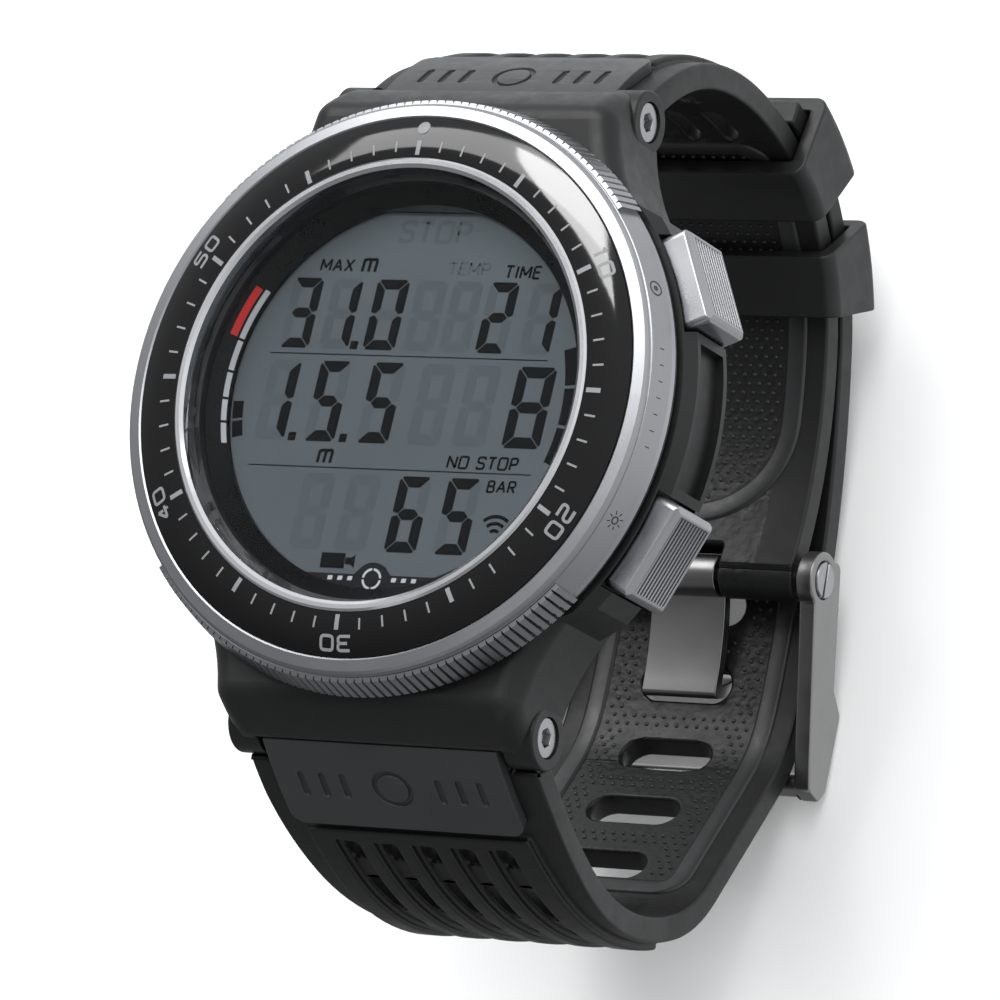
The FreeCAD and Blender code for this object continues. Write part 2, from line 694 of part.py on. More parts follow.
def lug_screws():
    screws = []
    for side in (-1, 1):
        for sx in (-1, 1):
            head = x_cylinder(1.68, 13.1, BOSS_OUT - 0.2, side * LUG_Y, LUG_Z)
            shank = fused([x_cylinder(0.98, 11.72, 13.1, side * LUG_Y, LUG_Z),
                           x_cylinder(0.7, 8.0, 11.72, side * LUG_Y, LUG_Z)])
            hexagon = [V(13.6, side * LUG_Y + 0.85 * math.cos(math.radians(60 * i)),
                         LUG_Z + 0.85 * math.sin(math.radians(60 * i))) for i in range(6)]
            hexagon.append(hexagon[0])
            socket = Part.Face(Part.makePolygon(hexagon)).extrude(V(2, 0, 0))
            screw = fused([head, shank]).cut(socket)
            if sx < 0:
                screw = screw.mirror(V(0, 0, 0), V(1, 0, 0))
            screws.append(screw)
    return Part.makeCompound(screws)


def buckle_pin():
    shaft = x_cylinder(PIN_R, -ARM_IN - ARM_T - 0.1, ARM_IN + ARM_T + 0.1, PIN.y, PIN.z)
    head = x_cylinder(HEAD_R, ARM_IN + HEAD_SEAT, ARM_IN + ARM_T + 0.15, PIN.y, PIN.z)
    rivet = x_cylinder(1.3, -ARM_IN - ARM_T - 0.7, -ARM_IN - ARM_T - 0.1, PIN.y, PIN.z)
    slot = box(ARM_IN + ARM_T - 0.25, 20, PIN.y - 2, PIN.y + 2, PIN.z - 0.2, PIN.z + 0.2)
    return fused([shaft, head, rivet]).cut(slot)


def buckle_frame():
    """Two side arms on the pin, joined by a cross bar outside the strap."""
    outline = [(0.4, -39.6), (-17.4, -44.4), (-19.6, -45.1), (-20.1, -47.0), (-18.9, -48.1), (-11.8, -48.6),
               (-10.0, -46.8), (0.9, -44.4)]
    arms = []
    for x0 in (ARM_IN, -ARM_IN - ARM_T):
        corners = [V(x0, y, z) for y, z in outline]
        corners.append(corners[0])
        plate = Part.Face(Part.makePolygon(corners)).extrude(V(ARM_T, 0, 0))
        plate = plate.makeFillet(0.8, [e for e in plate.Edges if abs(e.tangentAt(e.FirstParameter).x) > 0.9])
        boss = x_cylinder(2.5, x0, x0 + ARM_T, PIN.y, PIN.z)
        arms.append(fused([plate, boss]))
    bar = x_cylinder(1.05, -ARM_IN - 0.2, ARM_IN + 0.2, -18.7, -46.5)
    frame = fused(arms + [bar])
    frame = frame.cut(x_cylinder(PIN_R + 0.05, -20, 20, PIN.y, PIN.z))
    return frame.cut(x_cylinder(HEAD_R + 0.06, ARM_IN + HEAD_SEAT - 0.06, 20, PIN.y, PIN.z))


def buckle_tongue():
    """Bowed plate that turns on the pin; its hooked end is an arc about the pin and passes through a slot."""
    half = 3.7
    bow = V(0, 0, -0.45)

    def at(radius, angle):
        return PIN + normal(angle) * radius + V(-half, 0, 0)

    heel = at(10.9, 194.5)
    bend = at(10.3, 190.8)
    root_in = at(0.8, 235)
    root_out = at(1.9, 250)
    throat = at(9.65, 198)
    edges = [Part.Arc(at(10.9, 219), at(10.9, 206), heel).toShape(),
             Part.Arc(heel, at(10.67, 191.6), bend).toShape(),
             Part.Arc(bend, (bend + root_in) * 0.5 + bow, root_in).toShape(),
             Part.makeLine(root_in, root_out),
             Part.Arc(root_out, (root_out + throat) * 0.5 + bow, throat).toShape(),
             Part.Arc(throat, at(9.65, 208), at(9.65, 219)).toShape(),
             Part.makeLine(at(9.65, 219), at(10.9, 219))]
    plate = Part.Face(Part.Wire(edges)).extrude(V(2 * half, 0, 0))
    knuckle = x_cylinder(1.9, -half, half, PIN.y, PIN.z)
    tongue = fused([knuckle, plate])
    return tongue.cut(x_cylinder(PIN_R + 0.05, -20, 20, PIN.y, PIN.z))


# ---------------------------------------------------------------- build every node
def main():
    save(case_body(), "case_body")
    save(case_back(), "case_back")
    save(ring(19.9, 19.1, 1.8, Z_BACK_TOP), "case_back_gasket")
    save(case_back_screws(), "case_back_screws")
    save(battery_door(), "battery_door")
    save(ring(13.15, DOOR_NECK_R + 0.1, 1.02, 1.25), "battery_door_gasket")
    save(movement_frame(), "movement_frame")
    save(battery(), "battery")
    save(battery_contact(), "battery_contact")
    save(circuit_board(), "circuit_board")
    save(board_screws(), "board_screws")
    save(key_switches(), "key_switches")
    save(box(-4.5, 2.5, -3.5, 3.5, Z_BOARD + BOARD_T, Z_BOARD + BOARD_T + 0.8), "microcontroller")
    save(elastomer_connectors(), "elastomer_connectors")
    save(cylinder(1.9, Z_BACK_TOP, 5.4, 0, -15.6), "pressure_sensor")
    save(cylinder(1.9, Z_BACK_TOP + 0.4, 4.6, 0, 15.6), "buzzer")
    save(box(-11.5, 11.5, -11.8, 11.8, 8.45, Z_LCD), "lcd_backlight")
    save(lcd_panel(), "lcd_panel")
    save(dial_mask(), "dial_mask")
    save(ring(CRYSTAL_R, 17.95, Z_NECK, Z_CRYSTAL), "crystal_gasket")
    save(crystal(), "crystal")
    save(inner_ring(), "inner_ring")
    save(bezel_insert(), "bezel_insert")
    save(bezel_ring(), "bezel_ring")
    makers = {"cap": button_cap, "stem": button_stem, "bushing": button_bushing, "seals": button_seals,
              "spring": button_spring}
    for place, angle in BUTTON_ANGLES.items():
        for piece, make in makers.items():
            shape = make()
            shape.translate(V(0, 0, BUTTON_Z))
            save(spun(shape, angle), "button_%s_%s" % (place, piece))
    save(strap_12(), "strap_12")
    save(strap_6(), "strap_6")
    save(pad(PATH_12, 0, 0.9, 9.3), "strap_12_pad")
    save(pad(PATH_6, 1, 0.2, 8.7), "strap_6_pad")
    save(keeper(-39.0, -20.0), "keeper_upper")
    save(keeper(-68.0, -50.0), "keeper_lower")
    save(lug_tube(1), "lug_tube_12")
    save(lug_tube(-1), "lug_tube_6")
    save(lug_screws(), "lug_screws")
    save(buckle_pin(), "buckle_pin")
    save(buckle_frame(), "buckle_frame")
    save(buckle_tongue(), "buckle_tongue")


main()
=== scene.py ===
import bpy
import bmesh
import json
import math
from mathutils import Matrix, Vector

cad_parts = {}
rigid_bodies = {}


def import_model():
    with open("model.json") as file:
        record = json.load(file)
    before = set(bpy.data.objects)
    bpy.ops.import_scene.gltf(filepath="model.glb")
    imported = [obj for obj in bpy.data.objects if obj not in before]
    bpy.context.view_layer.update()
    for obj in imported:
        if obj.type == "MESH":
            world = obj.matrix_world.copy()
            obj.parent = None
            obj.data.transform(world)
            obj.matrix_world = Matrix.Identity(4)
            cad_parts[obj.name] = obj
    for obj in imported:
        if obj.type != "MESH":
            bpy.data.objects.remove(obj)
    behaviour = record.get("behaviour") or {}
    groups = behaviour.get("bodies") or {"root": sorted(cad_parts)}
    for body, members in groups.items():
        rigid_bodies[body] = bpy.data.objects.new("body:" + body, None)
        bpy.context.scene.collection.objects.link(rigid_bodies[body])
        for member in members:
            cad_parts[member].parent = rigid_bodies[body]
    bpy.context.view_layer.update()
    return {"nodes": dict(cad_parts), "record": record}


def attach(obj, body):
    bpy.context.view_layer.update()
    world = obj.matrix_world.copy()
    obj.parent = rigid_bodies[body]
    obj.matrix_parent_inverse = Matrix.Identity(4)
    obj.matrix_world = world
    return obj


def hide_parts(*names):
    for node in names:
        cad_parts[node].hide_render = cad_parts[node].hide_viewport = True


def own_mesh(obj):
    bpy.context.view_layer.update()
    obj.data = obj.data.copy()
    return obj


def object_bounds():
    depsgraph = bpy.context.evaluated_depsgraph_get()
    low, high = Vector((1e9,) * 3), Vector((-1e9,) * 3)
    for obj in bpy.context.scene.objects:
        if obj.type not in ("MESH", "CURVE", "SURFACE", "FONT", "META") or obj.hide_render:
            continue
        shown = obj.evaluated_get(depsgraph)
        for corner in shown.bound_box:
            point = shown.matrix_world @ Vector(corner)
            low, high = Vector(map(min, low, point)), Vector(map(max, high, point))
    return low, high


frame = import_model()
NODES = frame["nodes"]
BODY_OF = {}
for body_name, body_nodes in frame["record"]["behaviour"]["bodies"].items():
    for node_name in body_nodes:
        BODY_OF[node_name] = body_name
MM = 0.001
CASE = "case"

# brightness of the studio walls at the 6 o'clock side and at the 12 o'clock side
WALL_DARK = 0.25
WALL_BRIGHT = 1.0

# millimetres, as in the CAD: dial stack
Z_LCD_TOP = 10.4
Z_MASK_TOP = 12.15
Z_WINDOW = 10.9
WINDOW_R = 16.5
FLANGE_R = 17.9

# the domed insert's three heights: (radius, height)
CROWN = ((19.45, 14.72), (21.4, 14.52), (23.1, 13.95))

# bezel flank: radius and height of its lower edge, and how far it leans in over its rise
FLANK_R = 25.1
FLANK_Z = 10.75
FLANK_LEAN = 0.6 / 2.3

# buttons: name of each and its angle about Z
BUTTON_ANGLES = (("upper_right", 25.4), ("lower_right", -25.4))

# pitch of the buckle slots
SLOT_PITCH = 7.2

# how far printed marks reach under a surface and stand over it
MARK_UNDER = -0.03
MARK_OVER = 0.018
FLANK_OVER = 0.012


# ---------------------------------------------------------------- camera and lamps
scene = bpy.context.scene
scene.view_settings.view_transform = "Standard"
cam_data = bpy.data.cameras.new("camera")
cam_data.lens = 270
cam_data.sensor_width = 36
cam = bpy.data.objects.new("camera", cam_data)
scene.collection.objects.link(cam)
right = Vector((0.86584, 0.16193, -0.47339))
up = Vector((-0.03572, 0.96377, 0.26434))
back = Vector((0.49904, -0.21197, 0.84025))
turn = Matrix((right, up, back)).transposed().to_4x4()
cam.matrix_world = Matrix.Translation(Vector((0.316483, -0.138223, 0.525072))) @ turn
scene.camera = cam


def softbox(name, direction, distance, width, height, radiance, spin=0.0):
    """Rectangular light that faces the watch from a direction; radiance is its brightness as seen."""
    data = bpy.data.lights.new(name, "AREA")
    data.shape = "RECTANGLE"
    data.size = width
    data.size_y = height
    data.energy = radiance * math.pi * width * height
    lamp = bpy.data.objects.new(name, data)
    d = Vector(direction).normalized()
    look = d.to_track_quat("Z", "Y").to_matrix().to_4x4()
    lamp.matrix_world = Matrix.Translation(d * distance) @ look @ Matrix.Rotation(math.radians(spin), 4, "Z")
    scene.collection.objects.link(lamp)
    return lamp


key = softbox("key", (-0.12, 0.58, 0.80), 1.2, 1.49, 0.82, 4.1, -27)
softbox("right_card", (0.95, 0.25, 0.22), 1.2, 0.60, 0.96, 0.35)
softbox("front_card", (0.15, -0.95, 0.32), 1.2, 1.20, 0.52, 0.45)
bright_card = softbox("bright_card", (-0.13, 0.60, 0.79), 1.2, 0.46, 0.50, 24.0, -20)
wide_card = softbox("wide_card", (-0.30, 0.64, 0.71), 1.2, 0.86, 0.46, 9.0, -14)
floor_wash = softbox("floor_wash", (0.1, 0.0, 1.0), 1.5, 1.6, 1.6, 1.35)
floor_wash.data.use_shadow = False


# ---------------------------------------------------------------- materials
def start_material(name, color, roughness, metallic=0.0):
    mat = bpy.data.materials.new(name)
    mat.use_nodes = True
    nodes = mat.node_tree.nodes
    shader = nodes["Principled BSDF"]
    shader.inputs["Base Color"].default_value = (*color, 1)
    shader.inputs["Roughness"].default_value = roughness
    shader.inputs["Metallic"].default_value = metallic
    return mat, mat.node_tree, shader


def math_node(tree, operation, a, b=None):
    node = tree.nodes.new("ShaderNodeMath")
    node.operation = operation
    for socket, value in ((0, a), (1, b)):
        if value is None:
            continue
        if isinstance(value, (int, float)):
            node.inputs[socket].default_value = value
        else:
            tree.links.new(value, node.inputs[socket])
    return node.outputs[0]


def object_place(tree):
    return tree.nodes.new("ShaderNodeTexCoord").outputs["Object"]


def noise(tree, place, scale, detail=3.0, rough=0.55):
    node = tree.nodes.new("ShaderNodeTexNoise")
    node.inputs["Scale"].default_value = scale
    node.inputs["Detail"].default_value = detail
    node.inputs["Roughness"].default_value = rough
    tree.links.new(place, node.inputs["Vector"])
    return node.outputs["Fac"]


def spread(tree, value, low, high, start=0.3, end=0.7):
    node = tree.nodes.new("ShaderNodeMapRange")
    node.inputs["From Min"].default_value = start
    node.inputs["From Max"].default_value = end
    node.inputs["To Min"].default_value = low
    node.inputs["To Max"].default_value = high
    tree.links.new(value, node.inputs["Value"])
    return node.outputs["Result"]


def tint(tree, shader, color, factor, swing=0.16):
    """Base colour between a darker and a lighter version of a colour."""
    mix = tree.nodes.new("ShaderNodeMix")
    mix.data_type = "RGBA"
    mix.inputs["A"].default_value = (*[c * (1 - swing) for c in color], 1)
    mix.inputs["B"].default_value = (*[min(1.0, c * (1 + swing)) for c in color], 1)
    tree.links.new(factor, mix.inputs["Factor"])
    tree.links.new(mix.outputs["Result"], shader.inputs["Base Color"])


def bump(tree, shader, height, distance, strength=1.0):
    node = tree.nodes.new("ShaderNodeBump")
    node.inputs["Distance"].default_value = distance
    node.inputs["Strength"].default_value = strength
    tree.links.new(height, node.inputs["Height"])
    tree.links.new(node.outputs["Normal"], shader.inputs["Normal"])


def moulded(name, color, roughness, grain=4200, depth=6e-6, blotch=220, rough_var=0.07, specular=0.5):
    """Moulded plastic or rubber: fine spark-eroded grain, faint cloudy colour, uneven sheen."""
    mat, tree, shader = start_material(name, color, roughness)
    shader.inputs["Specular IOR Level"].default_value = specular
    place = object_place(tree)
    cloud = noise(tree, place, blotch, 4.0)
    fine = noise(tree, place, grain, 2.0, 0.6)
    tint(tree, shader, color, spread(tree, cloud, 0.25, 0.75))
    rub = noise(tree, place, blotch * 3.1, 5.0, 0.65)
    sheen = spread(tree, rub, roughness - rough_var, roughness + rough_var)
    tree.links.new(sheen, shader.inputs["Roughness"])
    bump(tree, shader, fine, depth)
    return mat


def strap_surface(name, color, roughness):
    """Strap rubber: fine grain, and a pebbled grip finish on the middle of the wrist side."""
    mat, tree, shader = start_material(name, color, roughness)
    shader.inputs["Specular IOR Level"].default_value = 0.32
    loop_centre = (0, 0, -0.020)
    grip_half = 0.0077
    grip_top = -0.012
    faces_in = 0.002
    place = object_place(tree)
    inward = tree.nodes.new("ShaderNodeVectorMath")
    inward.operation = "SUBTRACT"
    inward.inputs[0].default_value = loop_centre
    tree.links.new(place, inward.inputs[1])
    facing = tree.nodes.new("ShaderNodeVectorMath")
    facing.operation = "DOT_PRODUCT"
    tree.links.new(inward.outputs[0], facing.inputs[0])
    tree.links.new(tree.nodes.new("ShaderNodeNewGeometry").outputs["Normal"], facing.inputs[1])
    split = tree.nodes.new("ShaderNodeSeparateXYZ")
    tree.links.new(place, split.inputs[0])
    middle = math_node(tree, "LESS_THAN", math_node(tree, "ABSOLUTE", split.outputs[0]), grip_half)
    low = math_node(tree, "LESS_THAN", split.outputs[2], grip_top)
    grip = math_node(tree, "MULTIPLY", math_node(tree, "GREATER_THAN", facing.outputs["Value"], faces_in),
                     math_node(tree, "MULTIPLY", middle, low))
    cloud = noise(tree, place, 180, 4.0)
    tint(tree, shader, color, spread(tree, cloud, 0.25, 0.75))
    rub = noise(tree, place, 560, 5.0, 0.65)
    sheen = spread(tree, rub, roughness - 0.06, roughness + 0.06)
    tree.links.new(math_node(tree, "SUBTRACT", sheen, math_node(tree, "MULTIPLY", grip, 0.1)),
                   shader.inputs["Roughness"])
    fine = math_node(tree, "MULTIPLY", noise(tree, place, 4200, 2.0, 0.6), 0.08)
    pebbles = math_node(tree, "MULTIPLY", noise(tree, place, 1500, 1.0, 0.5), grip)
    bump(tree, shader, math_node(tree, "ADD", fine, pebbles), 6e-5)
    return mat


def brushed(name, color, roughness, way):
    """Brushed metal. way is "round" for turning marks about Z, or the axis that the marks run along."""
    mat, tree, shader = start_material(name, color, roughness, 1.0)
    place = object_place(tree)
    split = tree.nodes.new("ShaderNodeSeparateXYZ")
    tree.links.new(place, split.inputs[0])
    x, y, z = split.outputs
    join = tree.nodes.new("ShaderNodeCombineXYZ")
    fine = 7000.0
    along = 260.0
    turns = 6.0
    depth = 3e-8
    uneven = 0.02
    if way == "round":
        angle = math_node(tree, "ARCTAN2", y, x)
        squares = math_node(tree, "ADD", math_node(tree, "MULTIPLY", x, x), math_node(tree, "MULTIPLY", y, y))
        radius = math_node(tree, "SQRT", squares)
        parts = ((angle, turns), (radius, fine), (z, fine))
    else:
        parts = [(v, along if axis == way else fine) for v, axis in ((x, "X"), (y, "Y"), (z, "Z"))]
    for i, (value, scale) in enumerate(parts):
        tree.links.new(math_node(tree, "MULTIPLY", value, scale), join.inputs[i])
    marks = noise(tree, join.outputs[0], 1.0, 3.0, 0.6)
    cloud = noise(tree, place, 160, 3.0)
    tint(tree, shader, color, spread(tree, marks, 0.2, 0.8), 0.03)
    wear = math_node(tree, "ADD", spread(tree, marks, -uneven, uneven),
                     spread(tree, cloud, roughness - 0.03, roughness + 0.03))
    tree.links.new(wear, shader.inputs["Roughness"])
    bump(tree, shader, marks, depth)
    return mat


def polished(name, color, roughness, metallic=1.0, specular=0.5):
    """Smooth surface with faint smudges and hairline marks."""
    mat, tree, shader = start_material(name, color, roughness, metallic)
    shader.inputs["Specular IOR Level"].default_value = specular
    place = object_place(tree)
    smudge = noise(tree, place, 190, 5.0, 0.62)
    tint(tree, shader, color, noise(tree, place, 420, 3.0), 0.05)
    tree.links.new(spread(tree, smudge, roughness * 0.8, roughness * 1.3), shader.inputs["Roughness"])
    bump(tree, shader, noise(tree, place, 900, 2.0), 1.5e-7)
    return mat


def clear_glass(name):
    """Clear glass: what is behind shows through, with a Fresnel reflection and faint smudges."""
    mat = bpy.data.materials.new(name)
    mat.use_nodes = True
    tree = mat.node_tree
    tree.nodes.clear()
    out = tree.nodes.new("ShaderNodeOutputMaterial")
    mix = tree.nodes.new("ShaderNodeMixShader")
    through = tree.nodes.new("ShaderNodeBsdfTransparent")
    through.inputs["Color"].default_value = (0.97, 0.98, 0.985, 1)
    gloss = tree.nodes.new("ShaderNodeBsdfGlossy")
    smudge = noise(tree, object_place(tree), 150, 5.0, 0.6)
    tree.links.new(spread(tree, smudge, 0.01, 0.05), gloss.inputs["Roughness"])
    fresnel = tree.nodes.new("ShaderNodeFresnel")
    fresnel.inputs["IOR"].default_value = 1.18
    tree.links.new(fresnel.outputs[0], mix.inputs[0])
    tree.links.new(through.outputs[0], mix.inputs[1])
    tree.links.new(gloss.outputs[0], mix.inputs[2])
    tree.links.new(mix.outputs[0], out.inputs["Surface"])
    return mat


def grey(level):
    return (level * 0.97, level * 0.99, level * 1.03)


MAT = {
    "case_polymer": moulded("m_case", grey(0.014), 0.38, 5200, 2e-6, specular=0.28),
    "back_steel": brushed("m_back", (0.55, 0.55, 0.56), 0.32, "round"),
    "seal_rubber": moulded("m_seal", grey(0.02), 0.55),
    "screw_steel": polished("m_screw", (0.36, 0.36, 0.37), 0.24),
    "frame_plastic": moulded("m_frame", grey(0.10), 0.5),
    "battery_steel": brushed("m_battery", (0.62, 0.62, 0.61), 0.28, "round"),
    "contact_brass": brushed("m_contact", (0.70, 0.52, 0.25), 0.3, "X"),
    "board_green": moulded("m_board", (0.02, 0.12, 0.06), 0.4, 2000, 1e-5),
    "switch_plastic": moulded("m_switch", grey(0.03), 0.45),
    "chip_plastic": moulded("m_chip", grey(0.015), 0.5),
    "connector_rubber": moulded("m_connector", (0.35, 0.12, 0.13), 0.6),
    "backlight_plastic": moulded("m_backlight", (0.75, 0.76, 0.74), 0.4),
    "display_grey": moulded("m_display", (0.098, 0.111, 0.121), 0.5, 1200, 2e-7, 60, 0.04, 0.1),
    "mask_black": moulded("m_mask", (0.002, 0.002, 0.0022), 0.3, 1500, 1e-7, 150, 0.05, 0.2),
    "mineral_glass": clear_glass("m_glass"),
    "polished_ring": polished("m_ring", (0.66, 0.665, 0.68), 0.14),
    "insert_black": polished("m_insert", (0.0025, 0.0025, 0.0028), 0.07, 0.0, 0.3),
    "satin_steel": brushed("m_bezel", (0.32, 0.325, 0.34), 0.31, "round"),
    "button_steel": polished("m_button", (0.35, 0.355, 0.37), 0.29),
    "strap_rubber": strap_surface("m_strap", grey(0.012), 0.46),
    "pad_rubber": moulded("m_pad", grey(0.040), 0.38, 5200, 2e-6, 200, specular=0.45),
    "keeper_rubber": moulded("m_keeper", grey(0.015), 0.42, 4600, 2e-6, 180, specular=0.38),
    "buckle_steel": polished("m_buckle", (0.26, 0.258, 0.255), 0.32),
}
INK = moulded("m_ink", grey(0.24), 0.5, 1500, 2e-7)
INK_DARK = moulded("m_ink_dark", grey(0.02), 0.5, 3000, 1e-6)
INK_WHITE = moulded("m_ink_white", grey(0.50), 0.5, 3000, 1e-6)
INK_RED = moulded("m_ink_red", (0.62, 0.012, 0.010), 0.45, 3000, 1e-6)
SEGMENT_ON = moulded("m_segment_on", (0.003, 0.0032, 0.004), 0.5, 1500, 1e-7, 90, 0.04, 0.05)
SEGMENT_OFF = moulded("m_segment_off", (0.083, 0.094, 0.103), 0.5, 1500, 1e-7, 90, 0.04, 0.1)
GRIP = moulded("m_grip", grey(0.026), 0.38, 4200, 3e-6, 200)

for node in NODES.values():
    for place in range(len(node.material_slots)):
        slot_name = node.material_slots[place].material.name.split(".")[0]
        node.material_slots[place].material = MAT[slot_name]


# ---------------------------------------------------------------- mesh helpers, all in millimetres
def add_object(name, mesh, material):
    obj = bpy.data.objects.new(name, mesh)
    scene.collection.objects.link(obj)
    mesh.materials.clear()
    mesh.materials.append(material)
    return obj


def piece(name, bm, material, body=CASE, smooth_deg=None):
    """Turns a bmesh in millimetres into a piece on a body."""
    bmesh.ops.recalc_face_normals(bm, faces=bm.faces[:])
    mesh = bpy.data.meshes.new(name)
    bm.to_mesh(mesh)
    bm.free()
    mesh.transform(Matrix.Scale(MM, 4))
    if smooth_deg:
        for polygon in mesh.polygons:
            polygon.use_smooth = True
        mesh.set_sharp_from_angle(angle=math.radians(smooth_deg))
    obj = add_object(name, mesh, material)
    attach(obj, body)
    return obj


def prism(bm, outline, low, high):
    """Flat outline given as (x, y) made solid between two heights."""
    count = len(outline)
    under = [bm.verts.new((x, y, low)) for x, y in outline]
    over = [bm.verts.new((x, y, high)) for x, y in outline]
    bm.faces.new(list(reversed(under)))
    bm.faces.new(over)
    for i in range(count):
        j = (i + 1) % count
        bm.faces.new((under[i], under[j], over[j], over[i]))


def slab(bm, rows):
    """Closed solid from a grid of (bottom point, top point) pairs."""
    under = [[bm.verts.new(p[0]) for p in row] for row in rows]
    over = [[bm.verts.new(p[1]) for p in row] for row in rows]
    last = len(rows) - 1
    width = len(rows[0]) - 1
    for i in range(last):
        for j in range(width):
            bm.faces.new((over[i][j], over[i][j + 1], over[i + 1][j + 1], over[i + 1][j]))
            bm.faces.new((under[i][j], under[i + 1][j], under[i + 1][j + 1], under[i][j + 1]))
        for j in (0, width):
            bm.faces.new((under[i][j], under[i + 1][j], over[i + 1][j], over[i][j]))
    for j in range(width):
        for i in (0, last):
            bm.faces.new((under[i][j], under[i][j + 1], over[i][j + 1], over[i][j]))


def polar(radius, degrees, z=0.0):
    a = math.radians(degrees)
    return (radius * math.cos(a), radius * math.sin(a), z)


def join_into(target, source):
    """Adds one bmesh to another."""
    mesh = bpy.data.meshes.new("join")
    source.to_mesh(mesh)
    source.free()
    target.from_mesh(mesh)
    bpy.data.meshes.remove(mesh)


def rounded(node, width, segments):
    """Copy of a CAD node with its sharp edges rounded; it stands for the node."""
    sharp = 32
    bm = bmesh.new()
    bm.from_mesh(NODES[node].data)
    bmesh.ops.remove_doubles(bm, verts=bm.verts[:], dist=2e-6)
    bmesh.ops.dissolve_limit(bm, angle_limit=math.radians(0.3), verts=bm.verts[:], edges=bm.edges[:])
    mesh = bpy.data.meshes.new(node + "_soft")
    bm.to_mesh(mesh)
    bm.free()
    obj = add_object(node + "_soft", mesh, NODES[node].material_slots[0].material)
    modifier = obj.modifiers.new("edges", "BEVEL")
    modifier.width = width * MM
    modifier.segments = segments
    modifier.limit_method = "ANGLE"
    modifier.angle_limit = math.radians(sharp)
    modifier.use_clamp_overlap = False
    modifier.miter_outer = "MITER_ARC"
    weighted = obj.modifiers.new("shading", "WEIGHTED_NORMAL")
    weighted.keep_sharp = True
    for polygon in mesh.polygons:
        polygon.use_smooth = True
    bpy.context.view_layer.update()
    done = bpy.data.meshes.new_from_object(obj.evaluated_get(bpy.context.evaluated_depsgraph_get()))
    obj.modifiers.clear()
    obj.data = done
    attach(obj, BODY_OF[node])
    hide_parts(node)
    return obj


# width of the rounding on each node, millimetres
SOFT_EDGES = {
    "strap_12": 0.30, "strap_6": 0.30, "strap_12_pad": 0.07, "strap_6_pad": 0.07,
    "keeper_upper": 0.22, "keeper_lower": 0.22, "buckle_frame": 0.22, "buckle_tongue": 0.12,
    "buckle_pin": 0.10, "lug_screws": 0.08,
    "button_upper_right_cap": 0.08, "button_lower_right_cap": 0.08,
}
for node, width in SOFT_EDGES.items():
    rounded(node, width, 3 if width > 0.12 else 2)


# ---------------------------------------------------------------- minute scale on the insert
def crown_height(radius):
    """Height of the domed insert at a radius: the arc through its three CAD points."""
    (ax, ay), (bx, by), (cx, cy) = CROWN
    d = 2 * (ax * (by - cy) + bx * (cy - ay) + cx * (ay - by))
    a2, b2, c2 = ax * ax + ay * ay, bx * bx + by * by, cx * cx + cy * cy
    ox = (a2 * (by - cy) + b2 * (cy - ay) + c2 * (ay - by)) / d
    oy = (a2 * (cx - bx) + b2 * (ax - cx) + c2 * (bx - ax)) / d
    return oy + math.sqrt((ax - ox) ** 2 + (ay - oy) ** 2 - (radius - ox) ** 2)


def on_crown(degrees, across, radius, lift):
    """Point on the insert: across is the distance along the circle from a radial line."""
    x, y, _ = polar(radius, degrees - math.degrees(across / radius))
    return (x, y, crown_height(radius) + lift)


def minute_angle(minute):
    return 90 - 6 * minute


def insert_ticks():
    bm = bmesh.new()
    outer = 20.92
    steps = 3
    for minute in range(60):
        long_mark = minute % 5 == 0
        inner = 19.65 if long_mark else 19.98
        half = 0.20 if long_mark else 0.085
        angle = minute_angle(minute)
        rows = []
        for i in range(steps + 1):
            radius = inner + (outer - inner) * i / steps
            rows.append([(on_crown(angle, a, radius, MARK_UNDER), on_crown(angle, a, radius, MARK_OVER))
                         for a in (-half, half)])
        slab(bm, rows)
    return bm


def bent(points, radius):
    """Polyline with its corners turned into arcs."""
    points = [Vector(p) for p in points]
    line = [points[0]]
    for before, corner, after in zip(points, points[1:], points[2:]):
        a = (before - corner).normalized()
        b = (after - corner).normalized()
        reach = min(radius, (before - corner).length * 0.49, (after - corner).length * 0.49)
        start, end = corner + a * reach, corner + b * reach
        for i in range(7):
            t = i / 6
            line.append(start * (1 - t) ** 2 + corner * 2 * t * (1 - t) + end * t ** 2)
    line.append(points[-1])
    return line


def ribbon(bm, line, half, put):
    """Flat stroke along a line; put maps (x, y, top or not) to a point."""
    rows = []
    for i, p in enumerate(line):
        along = (line[min(i + 1, len(line) - 1)] - line[max(i - 1, 0)]).normalized()
        side = Vector((-along.y, along.x)) * half
        if rows and (p - line[i - 1]).length < 1e-5:
            continue
        rows.append([(put(q.x, q.y, False), put(q.x, q.y, True)) for q in (p - side, p + side)])
    slab(bm, rows)


# centre lines of wide rounded digits, half width 0.56 and half height 0.56
DIGIT_LINES = {
    "0": [[(0, 0.56), (0.56, 0.56), (0.56, -0.56), (-0.56, -0.56), (-0.56, 0.56), (0.02, 0.56)]],
    "1": [[(-0.28, 0.34), (0.05, 0.56), (0.05, -0.56)]],
    "2": [[(-0.56, 0.56), (0.56, 0.56), (0.56, 0.02), (-0.56, -0.04), (-0.56, -0.56), (0.56, -0.56)]],
    "3": [[(-0.56, 0.56), (0.56, 0.56), (0.56, 0.0), (-0.3, 0.0)],
          [(0.0, 0.0), (0.56, 0.0), (0.56, -0.56), (-0.56, -0.56)]],
    "4": [[(0.28, -0.56), (0.28, 0.56)], [(0.28, 0.56), (-0.56, -0.22), (0.6, -0.22)]],
    "5": [[(0.56, 0.56), (-0.52, 0.56), (-0.56, 0.06), (0.56, 0.06), (0.56, -0.56), (-0.56, -0.56)]],
}


